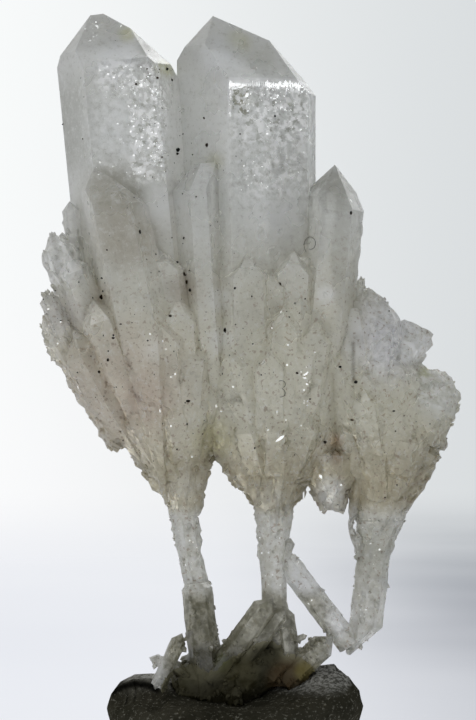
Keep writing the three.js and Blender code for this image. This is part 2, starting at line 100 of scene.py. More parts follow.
class Nodes:
    """Builds a node tree from short calls, whose values are constants or other nodes' outputs."""

    def __init__(self, tree, coordinates):
        self.tree = tree
        self.place = self.add("ShaderNodeTexCoord").outputs[coordinates]
        self.axes = self.add("ShaderNodeSeparateXYZ", Vector=self.place).outputs

    def plug(self, value, socket):
        """Link another node's output to a socket, or set the socket to a constant."""
        if isinstance(value, bpy.types.NodeSocket):
            self.tree.links.new(value, socket)
        else:
            socket.default_value = value

    def add(self, kind, settings=None, **inputs):
        """Add a node. Its inputs are named with _ for a space."""
        made = self.tree.nodes.new(kind)
        for key, value in (settings or {}).items():
            setattr(made, key, value)
        for key, value in inputs.items():
            self.plug(value, made.inputs[key.replace("_", " ")])
        return made

    def math(self, operation, first, second):
        made = self.add("ShaderNodeMath", {"operation": operation})
        self.plug(first, made.inputs[0])
        self.plug(second, made.inputs[1])
        return made.outputs[0]

    def times(self, product, *shares):
        """Multiply shares with each other."""
        for share in shares:
            product = self.math("MULTIPLY", product, share)
        return product

    def ramp(self, value, low, high, start=0.0, end=1.0):
        """Map a value from low..high to start..end, smoothly and clamped."""
        settings = {"interpolation_type": "SMOOTHSTEP"}
        spans = {"From_Min": low, "From_Max": high, "To_Min": start, "To_Max": end}
        return self.add("ShaderNodeMapRange", settings, Value=value, **spans).outputs["Result"]

    def mix(self, share, first, second):
        """Mix two colours."""
        made = self.add("ShaderNodeMix", {"data_type": "RGBA"}, Factor=share, A=first, B=second)
        return made.outputs["Result"]


class Shader(Nodes):
    """A material made of one principled shader."""

    def __init__(self, name):
        self.material = bpy.data.materials.new(name)
        self.material.use_nodes = True
        super().__init__(self.material.node_tree, "Object")
        self.principled = self.tree.nodes["Principled BSDF"]

    def set(self, **inputs):
        """Set or link the principled shader's sockets."""
        for key, value in inputs.items():
            self.plug(value, self.principled.inputs[key.replace("_", " ")])

    def noise(self, scale, detail=4.0, roughness=0.55, where=None):
        """A noise texture, with the scale in cells to a metre."""
        spans = {"Scale": scale, "Detail": detail, "Roughness": roughness}
        return self.add("ShaderNodeTexNoise", Vector=where or self.place, **spans).outputs["Fac"]

    def bump(self, height, strength, distance):
        made = self.add("ShaderNodeBump", Height=height, Strength=strength, Distance=distance)
        return made.outputs["Normal"]

    def near(self, column, row, radius, strength):
        """A soft round patch of the front view, full at a pixel and 0 past the radius, also in pixels."""
        x, z = spot(column, row)
        flat = self.add("ShaderNodeCombineXYZ", X=self.axes["X"], Z=self.axes["Z"])
        away = self.add("ShaderNodeVectorMath", {"operation": "DISTANCE"})
        self.plug(flat.outputs["Vector"], away.inputs[0])
        self.plug((x, 0, z), away.inputs[1])
        reach = radius * PIXEL
        return self.ramp(away.outputs["Value"], reach, reach * FULL_CORE, 0.0, strength)

    def zone(self, left, top, right, bottom, soft):
        """A soft-edged box of the front view, with its sides and its softness in pixels."""
        edge = soft * PIXEL
        shares = []
        for axis, (low, high) in zip("XZ", box_sides(left, top, right, bottom)):
            shares.append(self.ramp(self.axes[axis], low - edge, low + edge))
            shares.append(self.ramp(self.axes[axis], high + edge, high - edge))
        return self.times(*shares)

    def stored(self, name, output):
        """A value that the mesh carries at its vertices."""
        return self.add("ShaderNodeAttribute", {"attribute_name": name}).outputs[output]

    def scaled(self, colour, share):
        made = self.add("ShaderNodeVectorMath", {"operation": "SCALE"}, Vector=colour, Scale=share)
        return made.outputs["Vector"]

    def patches(self, colour, name, texture):
        """Lay the patches that a mesh carries over a colour, broken up by a texture."""
        covered = self.times(self.stored(name, "Alpha"), texture)
        total = self.add("ShaderNodeVectorMath", {"operation": "ADD"})
        self.plug(self.scaled(colour, self.math("SUBTRACT", 1.0, covered)), total.inputs[0])
        self.plug(self.scaled(self.stored(name, "Color"), texture), total.inputs[1])
        return total.outputs["Vector"]


# Textures of the quartz: cells to a metre, detail and roughness.
CLOUD = (130, 3.0, 0.6)
GRIT = (900, 3.0, 0.65)
SPECKLE = (1500, 3.0, 0.8)
DUST = (2400, 2.0, 0.5)
MOTTLE = (1500, 3.0, 0.6)
MOTTLE_SHADE = (1150, 3.0, 0.6)

# Two shades of the stone for each part of the spray, from the top down, and of the root's grey skin.
UPPER_STONE = (rgb(228, 228, 224), rgb(240, 240, 237))
LOWER_STONE = (rgb(224, 220, 201), rgb(233, 230, 214))
UNDERSIDE_STONE = (rgb(192, 182, 154), rgb(210, 202, 176))
STALK_STONE = (rgb(218, 216, 205), rgb(242, 241, 234))
ROOT_STONE = (rgb(128, 124, 100), rgb(196, 192, 174))

# Heights over which each of those parts, and the brown dust, sets in on the way down.
LOWER_HEIGHTS = (68 * MM, 44 * MM)
DUST_HEIGHTS = (66 * MM, 46 * MM)
UNDERSIDE_HEIGHTS = (40 * MM, 31 * MM)
STALK_HEIGHTS = (29.5 * MM, 26.5 * MM)
ROOT_HEIGHTS = (19.2 * MM, 17 * MM)

# Where the root's grey skin sets in from the left and the right, fades to the back, and thins rightwards.
ROOT_LEFT = (-8.6 * MM, -7 * MM)
ROOT_RIGHT = (13 * MM, 10 * MM)
ROOT_BACK = (0.4 * MM, -1.2 * MM)
ROOT_THINNING = (-2.4 * MM, 0.5 * MM)

# Quartz bends light this much, lets half of it pass, and takes some of it away.
QUARTZ_IOR = 1.544
QUARTZ_CLEARNESS = 0.5
ABSORPTION_COLOUR = (0.78, 0.78, 0.73, 1.0)
ABSORPTION_DENSITY = 20.0

# The milky stone scatters the rest of the light inside, this deep, with shares of it for red, green and blue.
GLOW_SHARE = 0.5
GLOW_DEPTH = 6 * MM
GLOW_REACH = (1, 1, 0.95)

# Growth lines run across the prism faces: cells to a metre along X, Y and Z.
GROWTH_LINES = (120, 120, 1500)

# The white of the frost's painted glints, the ridge's painted highlight and the chips' painted glints, and
# how much the frost's painted glints glow of their own.
WHITE = rgb(255, 255, 255)
FROST_GLINT_GLOW = 0.16

# Painted shade in a narrow cleft on the front: left, top, right, bottom and softness in pixels.
CLEFT_SHADE = (350, 342, 353, 382, 2)

# The white ridge of the right large crystal's front face, a painted highlight along its top and down its left
# side, and the painted shade of the dark corner between them, in the same form.
RIDGE_HIGHLIGHT_TOP = (229, 82, 313, 87, 1)
RIDGE_HIGHLIGHT_SIDE = (228, 84, 230, 122, 1)
RIDGE_SHADE = (232, 90, 248, 120, 4)

# Patches of other colour on the front: column, row, radius in pixels, colour, strength.
STAINS = [
    (334, 440, 12, rgb(206, 164, 112), 0.5),
    (336, 456, 10, rgb(190, 148, 100), 0.5),
    (214, 438, 32, rgb(196, 188, 128), 0.6),
    (128, 36, 14, rgb(216, 214, 140), 0.6),
    (166, 70, 14, rgb(206, 206, 146), 0.6),
    (238, 44, 20, rgb(204, 204, 164), 0.5),
    (424, 371, 10, rgb(196, 200, 96), 0.7),
    (186, 290, 24, rgb(170, 150, 124), 0.5),
    (104, 296, 20, rgb(172, 156, 132), 0.5),
    (216, 164, 14, rgb(190, 188, 150), 0.5),
    (120, 386, 96, rgb(213, 198, 180), 0.75),
    (150, 398, 40, rgb(206, 186, 168), 0.5),
]

# Whiter or duller veils inside the larger crystals, and painted light that lifts shaded clefts and thin
# parts,
# and painted shade on some edges and on a tip facet, in the same form.
VEILS_AND_PAINTED_LIGHT = [
    (120, 64, 40, rgb(244, 245, 246), 0.7),
    (222, 58, 30, rgb(246, 247, 249), 0.7),
    (262, 62, 20, rgb(206, 206, 196), 0.6),
    (130, 130, 60, rgb(246, 247, 246), 0.7),
    (270, 110, 70, rgb(246, 247, 246), 0.8),
    (262, 190, 60, rgb(238, 239, 237), 0.5),
    (112, 194, 42, rgb(178, 174, 160), 0.85),
    (138, 204, 22, rgb(160, 157, 144), 0.7),
    (126, 240, 52, rgb(184, 176, 158), 0.75),
    (335, 190, 28, rgb(188, 187, 178), 0.7),
    (388, 338, 62, rgb(248, 248, 252), 0.9),
    (436, 394, 34, rgb(244, 245, 240), 0.8),
    (66, 262, 34, rgb(250, 250, 246), 0.9),
    (66, 318, 34, rgb(244, 240, 234), 0.8),
    (416, 346, 26, rgb(252, 252, 250), 0.9),
    (330, 492, 24, rgb(250, 249, 244), 0.9),
    (322, 452, 14, rgb(252, 244, 228), 0.8),
    (70, 92, 30, rgb(176, 176, 168), 0.5),
    (71, 112, 32, rgb(176, 176, 168), 0.5),
    (73, 134, 32, rgb(176, 176, 168), 0.5),
    (75, 156, 32, rgb(176, 176, 168), 0.5),
    (152, 46, 18, rgb(150, 150, 140), 0.9),
    (370, 550, 44, rgb(192, 191, 178), 0.7),
    (272, 215, 40, rgb(250, 250, 248), 0.8),
    (221, 300, 18, rgb(255, 255, 252), 0.8),
    (222, 340, 18, rgb(255, 255, 252), 0.7),
    (325, 296, 14, rgb(255, 255, 252), 0.8),
    (156, 350, 18, rgb(252, 248, 238), 0.6),
    (160, 205, 26, rgb(252, 252, 250), 0.8),
    (186, 486, 22, rgb(244, 240, 226), 0.8),
    (272, 494, 22, rgb(240, 236, 220), 0.7),
    (338, 616, 26, rgb(255, 255, 255), 0.9),
    (258, 300, 40, rgb(214, 210, 192), 0.5),
    (310, 590, 46, rgb(255, 255, 255), 0.9),
]

# Olive, brown and nearly black patches of the root, in the same form.
ROOT_PATCHES = [
    (190, 690, 34, rgb(52, 49, 26), 0.92),
    (212, 700, 40, rgb(34, 31, 13), 0.95),
    (252, 688, 48, rgb(24, 22, 6), 0.97),
    (264, 658, 24, rgb(34, 31, 11), 0.92),
    (236, 660, 16, rgb(96, 92, 62), 0.6),
    (222, 658, 12, rgb(104, 112, 60), 0.7),
    (290, 678, 30, rgb(66, 48, 22), 0.9),
    (305, 668, 14, rgb(120, 110, 60), 0.7),
    (202, 660, 26, rgb(88, 85, 66), 0.8),
    (236, 640, 20, rgb(128, 124, 102), 0.6),
    (238, 670, 26, rgb(50, 46, 22), 0.85),
    (222, 692, 26, rgb(36, 33, 14), 0.9),
]

# The outer share of its radius over which a patch that a mesh carries fades away.
PATCH_SOFTNESS = 0.8
ROOT_PATCH_SOFTNESS = 0.5

# The dull olive skin covers the core of the root's patches that are stronger than this.
OLIVE_STRENGTH = 0.85
OLIVE_CORE = 0.85

# Frosted parts of the front, whose white mottle is painted glints that glow: left, top, right, bottom and
# softness in pixels, strength.
FROST = [
    (230, 84, 314, 100, 3, 1.0),
    (232, 96, 314, 150, 10, 0.8),
    (236, 140, 312, 200, 20, 0.5),
    (100, 66, 160, 92, 8, 0.8),
    (132, 84, 166, 182, 8, 0.9),
    (92, 92, 132, 176, 14, 0.25),
    (364, 288, 398, 372, 12, 0.35),
    (398, 322, 432, 366, 8, 0.5),
    (414, 366, 458, 404, 8, 0.4),
    (46, 236, 72, 296, 8, 0.4),
    (326, 600, 350, 628, 6, 0.5),
]


def places_of(mesh):
    """The vertices of a mesh as an array with a row each."""
    places = np.empty(len(mesh.vertices) * 3)
    mesh.vertices.foreach_get("co", places)
    return places.reshape(-1, 3)


def carry_patches(mesh, name, table, softness):
    """Store round patches on a mesh: each colour times its share, and the share as alpha."""
    places = places_of(mesh)
    colours = np.zeros((len(places), 4))
    for column, row, radius, tint, strength in table:
        x, z = spot(column, row)
        away = np.hypot(places[:, 0] - x, places[:, 2] - z) / (radius * PIXEL)
        share = smooth((1 - away) / softness)[:, None] * strength
        colours = colours * (1 - share) + np.array(tint) * share
    layer = mesh.attributes.new(name, "FLOAT_COLOR", "POINT")
    layer.data.foreach_set("color", colours.ravel())


def carry_frost(mesh):
    """Store how frosted the quartz is at each vertex."""
    places = places_of(mesh)
    frost = np.zeros(len(places))
    for left, top, right, bottom, soft, strength in FROST:
        edge = soft * PIXEL
        share = strength
        for axis, (low, high) in zip((0, 2), box_sides(left, top, right, bottom)):
            along = places[:, axis]
            share = share * smooth((along - low + edge) / (2 * edge))
            share = share * smooth((high + edge - along) / (2 * edge))
        frost = np.maximum(frost, share)
    layer = mesh.attributes.new("frost", "FLOAT", "POINT")
    layer.data.foreach_set("value", frost)


def is_olive(place):
    """Whether a place of the quartz lies well inside one of the root's strongest patches."""
    for column, row, radius, _tint, strength in ROOT_PATCHES:
        away = (Vector((place.x, place.z)) - Vector(spot(column, row))).length
        if strength > OLIVE_STRENGTH and away < OLIVE_CORE * radius * PIXEL:
            return True
    return False


def paint(mesh, olive):
    """Store the patches, painted light and painted shade among them, and the frost on a quartz mesh, and give
    the lowest root its olive material.
    """
    carry_patches(mesh, "patches", STAINS + VEILS_AND_PAINTED_LIGHT, PATCH_SOFTNESS)
    carry_patches(mesh, "root_patches", ROOT_PATCHES, ROOT_PATCH_SOFTNESS)
    carry_frost(mesh)
    mesh.materials.append(olive)
    for polygon in mesh.polygons:
        polygon.material_index = 1 if is_olive(polygon.center) else 0


def quartz_colour(shader):
    """The colour of the stone: milky grey above, warmer and dustier below, frosty on the stalks. Two of its
    textures come with it.
    """
    height = shader.axes["Z"]
    cloud = shader.noise(*CLOUD)
    grit = shader.noise(*GRIT)
    upper = shader.mix(shader.ramp(cloud, 0.35, 0.7), *UPPER_STONE)
    lower = shader.mix(shader.ramp(cloud, 0.35, 0.68), *LOWER_STONE)
    under = shader.mix(shader.ramp(grit, 0.35, 0.68), *UNDERSIDE_STONE)
    stalk = shader.mix(shader.ramp(grit, 0.4, 0.62), *STALK_STONE)
    colour = shader.mix(shader.ramp(height, *LOWER_HEIGHTS), upper, lower)
    colour = shader.mix(shader.ramp(height, *UNDERSIDE_HEIGHTS), colour, under)
    colour = shader.mix(shader.ramp(height, *STALK_HEIGHTS), colour, stalk)
    # The patches lay stains and veils, with painted light and painted shade among them.
    colour = shader.patches(colour, "patches", shader.ramp(grit, 0.2, 0.6, 0.5, 1.0))
    # Painted shade darkens the narrow cleft.
    colour = shader.mix(shader.times(shader.zone(*CLEFT_SHADE), 0.6), colour, rgb(96, 86, 66))
    speckle = shader.noise(*SPECKLE)
    colour = shader.mix(shader.ramp(speckle, 0.46, 0.34, 0.0, 0.3), colour, rgb(150, 148, 132))
    colour = shader.mix(shader.ramp(speckle, 0.54, 0.66, 0.0, 0.4), colour, rgb(253, 253, 251))
    dust = shader.ramp(shader.noise(*DUST), 0.6, 0.68, 0.0, 0.6)
    dust = shader.times(dust, shader.ramp(height, *DUST_HEIGHTS))
    return shader.mix(dust, colour, rgb(146, 118, 94)), cloud, grit


def root_patches(shader, colour, grit):
    """Lay the root's patches over a colour."""
    return shader.patches(colour, "root_patches", shader.ramp(grit, 0.3, 0.6, 1.0, 0.9))


def darker_root(shader, colour, grit):
    """The skin of the root crystals, laid over the rest: grey above, olive to nearly black at the putty."""
    x, y, z = (shader.axes[axis] for axis in "XYZ")
    where = shader.times(shader.ramp(x, *ROOT_RIGHT), shader.ramp(x, *ROOT_LEFT))
    where = shader.times(shader.ramp(z, *ROOT_HEIGHTS), where, shader.ramp(y, *ROOT_BACK, 0.35, 1.0))
    where = shader.times(where, shader.ramp(x, *ROOT_THINNING, 1.0, 0.85))
    skin = shader.mix(shader.ramp(grit, 0.38, 0.62), *ROOT_STONE)
    return root_patches(shader, shader.mix(where, colour, skin), grit)


def frosted(shader, colour):
    """Etched grey and white mottling on the frosted parts, the white being painted glints, with their share,
    and the white ridge, a painted highlight, with painted shade in its dark corner.
    """
    frost = shader.stored("frost", "Fac")
    # The white mottle is painted glints.
    white = shader.times(shader.ramp(shader.noise(*MOTTLE), 0.47, 0.6), frost)
    grey = shader.times(shader.ramp(shader.noise(*MOTTLE_SHADE), 0.45, 0.36), frost, 0.8)
    colour = shader.mix(grey, colour, rgb(168, 169, 156))
    colour = shader.mix(white, colour, rgb(254, 254, 254))
    # Painted shade in the dark corner beside the ridge.
    dark = shader.times(shader.zone(*RIDGE_SHADE), shader.ramp(shader.noise(1700, 3.0), 0.5, 0.42), 0.8)
    colour = shader.mix(dark, colour, rgb(128, 126, 96))
    # The white ridge is a painted highlight.
    ridge = shader.math("MAXIMUM", shader.zone(*RIDGE_HIGHLIGHT_TOP), shader.zone(*RIDGE_HIGHLIGHT_SIDE))
    return shader.mix(ridge, colour, WHITE), white


def quartz_material():
    """Translucent quartz with growth lines across its faces."""
    shader = Shader("milky_quartz")
    colour, cloud, grit = quartz_colour(shader)
    colour, frost = frosted(shader, colour)
    shader.set(Base_Color=darker_root(shader, colour, grit))
    shader.set(Roughness=shader.ramp(cloud, 0.3, 0.7, 0.2, 0.42))
    shader.set(IOR=QUARTZ_IOR, Transmission_Weight=QUARTZ_CLEARNESS)
    shader.set(Subsurface_Weight=GLOW_SHARE, Subsurface_Radius=GLOW_REACH, Subsurface_Scale=GLOW_DEPTH)
    # The frost's painted glints glow of their own.
    shader.set(Emission_Color=WHITE, Emission_Strength=shader.times(frost, FROST_GLINT_GLOW))
    stretched = shader.add("ShaderNodeMapping", Vector=shader.place, Scale=GROWTH_LINES)
    lines = shader.noise(1.0, 3.0, 0.6, stretched.outputs["Vector"])
    relief = shader.math("ADD", shader.times(lines, 0.5), grit)
    shader.set(Normal=shader.bump(relief, 0.45, 0.1 * MM))
    absorb = shader.add("ShaderNodeVolumeAbsorption", Color=ABSORPTION_COLOUR, Density=ABSORPTION_DENSITY)
    shader.plug(absorb.outputs["Volume"], shader.tree.nodes["Material Output"].inputs["Volume"])
    return shader.material


def root_material():
    """The dull olive skin low on the root, which no light passes."""
    shader = Shader("olive_root")
    grit = shader.noise(*GRIT)
    base = shader.mix(grit, rgb(120, 116, 92), rgb(150, 146, 122))
    shader.set(Base_Color=root_patches(shader, base, grit), Roughness=0.6, Specular_IOR_Level=0.2)
    shader.set(Normal=shader.bump(grit, 0.6, 0.12 * MM))
    return shader.material


def crust_material():
    """The small crystals: the same stone, duller and without frost."""
    shader = Shader("quartz_crust")
    colour, cloud, grit = quartz_colour(shader)
    shader.set(Base_Color=darker_root(shader, colour, grit))
    shader.set(Roughness=shader.ramp(cloud, 0.3, 0.7, 0.3, 0.5))
    shader.set(IOR=QUARTZ_IOR, Transmission_Weight=QUARTZ_CLEARNESS)
    shader.set(Normal=shader.bump(grit, 0.4, 0.05 * MM))
    return shader.material


# Vertices nearer than this are one. A skin is split this often at most, until its edges are short enough.
WELD = 0.002 * MM
SPLIT_ROUNDS = 6
QUARTZ_EDGE = 0.75 * MM
PUTTY_EDGE = 0.55 * MM

# Relief of the quartz: the depth of its pits and its broken outline in millimetres, and their cells to a
# metre. Small pits have a share of the depth of the large ones.
PIT_DEPTH = 0.16
PIT_CELLS = 900
SMALL_PIT_CELLS = 2100
SMALL_PIT_SHARE = 0.6
BROKEN_DEPTH = 0.7
BROKEN_CELLS = 1400

# Heights that bound the relief: the root's top, and the span over which the skin turns rough on the way down.
ROOT_TOP = 20 * MM
ROUGH_START = 50 * MM
ROUGH_SPAN = 12 * MM
ROOT_ROUGHNESS = 0.5
LEAST_ROUGHNESS = 0.12

# The outline is broken between these heights, and half as much above the middle one.
BROKEN_FROM = 22 * MM
BROKEN_HALF = 50 * MM
BROKEN_TO = 63 * MM

# Faces that look more to the front or back than this count as front, and their outline stays whole.
FRONT_FACING = 0.8


def refined(node, longest):
    """One of the solids as a bmesh, with edges short enough to take fine relief."""
    builder = bmesh.new()
    builder.from_mesh(node.data)
    bmesh.ops.remove_doubles(builder, verts=builder.verts, dist=WELD)
    bmesh.ops.triangulate(builder, faces=builder.faces)
    for _ in range(SPLIT_ROUNDS):
        long = [edge for edge in builder.edges if edge.calc_length() > longest]
        if not long:
            break
        bmesh.ops.subdivide_edges(builder, edges=long, cuts=1)
        wide = [face for face in builder.faces if len(face.verts) > 3]
        bmesh.ops.triangulate(builder, faces=wide)
    builder.normal_update()
    return builder


def rough_share(place):
    """How deep the pits are at a place: deep on the spray's lower part, shallow on the big faces."""
    if place.z <= ROOT_TOP:
        return ROOT_ROUGHNESS
    low = min(max((ROUGH_START - place.z) / ROUGH_SPAN, 0.0), 1.0)
    return LEAST_ROUGHNESS + (1 - LEAST_ROUGHNESS) * low


def side_share(normal):
    """How far a face looks to the side, up or down: 0 on the front and the back."""
    return max(0.0, FRONT_FACING - abs(normal.y))


def serration(place, normal):
    """How strongly the outline is broken up: on the flanks and undersides of the spray's lower part."""
    if place.z < BROKEN_FROM or place.z > BROKEN_TO:
        return 0.0
    return side_share(normal) if place.z < BROKEN_HALF else 0.5 * side_share(normal)


def refined_quartz(node):
    """The cluster with fine relief: broken and pitted below, with nearly flat faces above."""
    builder = refined(node, QUARTZ_EDGE)
    for vertex in builder.verts:
        place = vertex.co
        pits = noise.noise(place * PIT_CELLS) + SMALL_PIT_SHARE * noise.noise(place * SMALL_PIT_CELLS)
        broken = noise.noise(place * BROKEN_CELLS) * serration(place, vertex.normal)
        outwards = pits * PIT_DEPTH * rough_share(place) + broken * BROKEN_DEPTH
        vertex.co = place + vertex.normal * outwards * MM
    return mesh_from("quartz", builder)


def skin_tree(mesh):
    """A mesh in the form that rays are cast on."""
    places = [vertex.co.copy() for vertex in mesh.vertices]
    return BVHTree.FromPolygons(places, [list(polygon.vertices) for polygon in mesh.polygons])


def front_place(tree, column, row):
    """The place and the normal on the front of the cluster at a pixel of the photo, as the camera sees it."""
    x, z = spot(*PHOTO_CENTRE)
    eye = Vector((x, -CAMERA_DISTANCE, z))
    x, z = spot(column, row)
    return tree.ray_cast(eye, (Vector((x, 0, z)) - eye).normalized())[:2]


def scattered(node, count, seed, weight):
    """Random places on a solid's skin, with their normals, more of them where the weight is higher."""
    mesh = node.data
    mesh.calc_loop_triangles()
    corners = [[mesh.vertices[i].co for i in triangle.vertices] for triangle in mesh.loop_triangles]
    normals = [triangle.normal.copy() for triangle in mesh.loop_triangles]
    shares = []
    for triangle, (a, b, c), normal in zip(mesh.loop_triangles, corners, normals):
        shares.append(triangle.area * weight((a + b + c) / 3, normal))
    chance = np.array(shares) / sum(shares)
    picker = np.random.default_rng(seed)
    places = []
    for index in picker.choice(len(chance), size=count, p=chance):
        u, v = picker.random(2)
        if u + v > 1:
            u, v = 1 - u, 1 - v
        a, b, c = corners[index]
        places.append((a + (b - a) * float(u) + (c - a) * float(v), normals[index]))
    return places


# The crust of small crystals: how many, and the smallest and the added radius and length.
DRUSE_COUNT = 1500
DRUSE_SEED = 5
DRUSE_RADIUS = (0.1 * MM, 0.24 * MM)
DRUSE_LENGTH = (0.5 * MM, 1.2 * MM)

# How strongly the sizes crowd at the small end, how much the root's crystals still follow the way of growth,
# and how far each one leans out of the skin at least.
DRUSE_CROWDING = 2.2
ROOT_PULL = 0.4
LEAST_LEAN = 0.15

# A crystal's sides, the height of its tip in radii, and the share of its length that is sunk in.
CRYSTAL_SIDES = 6
TIP_HEIGHT = 1.2
CRYSTAL_SUNK = 0.62

# Heights in millimetres that bound the crust: its top, the shoulders, the underside and the root's crystals.
CRUST_TOP = 62
CRUST_SHOULDERS = 46
CRUST_UNDERSIDE = 28
CRUST_ROOT = 14

# The crust thins from this height up, over this span. The shoulders have it only past these X, and the root
# has more of it up to this X, all in millimetres.
CRUST_THINNING = 40
CRUST_THINNING_SPAN = 8
SHOULDER_LEFT = -17
SHOULDER_RIGHT = 15
ROOT_REACH = 11

# Where the crystals over each stalk fan out from, in millimetres, and up to which X each fan reaches.
FOCI = [((-5.8, 0.2, 23), -1.5), ((5, -0.2, 20), 11.5), ((16.5, 0.2, 21), 99)]


def growth(place):
    """The way a crystal at this place points: away from the top of its stalk."""
    focus = next(focus for focus, limit in FOCI if place.x < limit * MM)
    return (place - Vector(focus) * MM).normalized()


def ring_corner(long, wide, z, angle):
    """A corner of an upright ring, from half its length and half its width."""
    return Vector((long * math.cos(angle), wide * math.sin(angle), z))


def add_crystal(builder, foot, axis, radius, length, twist):
    """A six-sided prism with a pointed end, as new faces of a mesh."""
    turn = axis.to_track_quat("Z", "X").to_matrix().to_4x4()
    place = Matrix.Translation(foot) @ turn @ Matrix.Rotation(twist, 4, "Z")
    shoulder = length - TIP_HEIGHT * radius
    angles = [i * math.pi / 3 for i in range(CRYSTAL_SIDES)]
    low = [builder.verts.new(place @ ring_corner(radius, radius, 0, angle)) for angle in angles]
    high = [builder.verts.new(place @ ring_corner(radius, radius, shoulder, angle)) for angle in angles]
    tip = builder.verts.new(place @ Vector((0, 0, length)))
    for i in range(CRYSTAL_SIDES):
        j = (i + 1) % CRYSTAL_SIDES
        builder.faces.new((low[i], low[j], high[j], high[i]))
        builder.faces.new((high[i], high[j], tip))
    builder.faces.new(list(reversed(low)))


def druse_weight(place, normal):
    """Small crystals crowd the underside and the flanks of the spray, and are few on the stalks."""
    x, _y, z = place / MM
    if z > CRUST_TOP:
        return 0.0
    if z > CRUST_SHOULDERS:
        return 0.12 if x < SHOULDER_LEFT or x > SHOULDER_RIGHT else 0.0
    if z > CRUST_UNDERSIDE:
        thinning = max((z - CRUST_THINNING) / CRUST_THINNING_SPAN, 0)
        return side_share(normal) ** 2 * (1.0 - 0.5 * thinning)
    if z > CRUST_ROOT or x > ROOT_REACH:
        return 0.06
    return 0.25


def druse(node):
    """The crust of small crystals that grows on the large ones."""
    random.seed(DRUSE_SEED)
    builder = bmesh.new()
    for place, normal in scattered(node, DRUSE_COUNT, DRUSE_SEED, druse_weight):
        size = random.random() ** DRUSE_CROWDING
        pull = ROOT_PULL if place.z < CRUST_ROOT * MM else 1.0
        axis = (growth(place) * pull + normal * random.uniform(0.2, 0.9)).normalized()
        if axis.dot(normal) < LEAST_LEAN:
            axis = (axis + normal * 0.5).normalized()
        radius = DRUSE_RADIUS[0] + DRUSE_RADIUS[1] * size
        length = DRUSE_LENGTH[0] + DRUSE_LENGTH[1] * size
        foot = place - axis * length * CRYSTAL_SUNK
        add_crystal(builder, foot, axis, radius, length, random.uniform(0, math.pi / 3))
    return mesh_from("druse", builder)


# Scattered specks: how many, and the smallest and the added size.
GRAIN_COUNT = 900
GRAIN_SEED = 11
GRAIN_SIZE = (0.04 * MM, 0.08 * MM)

# Specks are few under the first height. Over the second most lie in the gap between the two large crystals,
# and few are on the right crystals over the third. All are in millimetres.
FEW_GRAINS_UNDER = 30
GAP_GRAINS_OVER = 66
GAP_MIDDLE = -8
GAP_HALF_WIDTH = 3
RIGHT_CRYSTALS = 10
FEW_GRAINS_RIGHT_OVER = 40

# Larger specks, where the photo shows them: column, row, size in millimetres. Each is made a little smaller.
LARGE_GRAIN_SCALE = 0.95 * MM
LARGE_GRAINS = [
    (102, 297, 0.3), (103, 291, 0.2), (190, 290, 0.32), (187, 282, 0.24), (185, 275, 0.2),
    (325, 442, 0.22), (187, 424, 0.18), (184, 238, 0.16), (178, 150, 0.2), (183, 134, 0.15),
    (170, 316, 0.2), (289, 317, 0.18), (394, 411, 0.18), (320, 437, 0.14), (310, 399, 0.14),
    (147, 69, 0.2), (167, 69, 0.2), (157, 78, 0.2), (172, 80, 0.24), (136, 84, 0.16),
    (177, 150, 0.24), (177, 154, 0.2), (275, 116, 0.2), (204, 118, 0.2), (207, 145, 0.2),
    (140, 232, 0.24), (108, 360, 0.22), (107, 250, 0.18), (99, 372, 0.2), (113, 338, 0.18),
    (177, 262, 0.24), (184, 274, 0.24), (356, 382, 0.24), (297, 373, 0.2), (225, 330, 0.22),
    (235, 288, 0.18), (280, 284, 0.2), (340, 367, 0.2), (352, 420, 0.2), (188, 401, 0.22),
    (102, 278, 0.18), (351, 213, 0.24),
]


def add_grain(builder, place, size):
    """A small lump with uneven corners, as new faces of a mesh."""
    made = bmesh.ops.create_icosphere(builder, subdivisions=1, radius=size)
    stretch = Vector([random.uniform(0.6, 1.4) for _ in range(3)])
    for vertex in made["verts"]:
        jitter = random.uniform(0.75, 1.2)
        vertex.co = place + Vector(a * b * jitter for a, b in zip(vertex.co, stretch))


def grain_weight(place, _normal):
    """Black specks are thick between the crystals of the left and the middle, and few above."""
    x, _y, z = place / MM
    if z < FEW_GRAINS_UNDER:
        return 0.05
    if z > GAP_GRAINS_OVER:
        return 0.12 if abs(x - GAP_MIDDLE) > GAP_HALF_WIDTH else 1.2
    if x > RIGHT_CRYSTALS and z > FEW_GRAINS_RIGHT_OVER:
        return 0.25
    return 1.0


def grains(node, tree):
    """Black and brown specks that sit in the skin of the quartz."""
    random.seed(GRAIN_SEED)
    builder = bmesh.new()
    for place, _normal in scattered(node, GRAIN_COUNT, GRAIN_SEED, grain_weight):
        add_grain(builder, place, GRAIN_SIZE[0] + GRAIN_SIZE[1] * random.random() ** 3)
    for column, row, size in LARGE_GRAINS:
        place, _normal = front_place(tree, column, row)
        if place:
            add_grain(builder, place, size * LARGE_GRAIN_SCALE)
    return mesh_from("grains", builder)


def grain_material():
    """Nearly black and brown minerals."""
    shader = Shader("dark_mineral")
    colour = shader.mix(shader.ramp(shader.noise(600), 0.4, 0.6), rgb(4, 4, 3), rgb(52, 36, 22))
    shader.set(Base_Color=colour, Roughness=0.7, Specular_IOR_Level=0.15)
    return shader.material


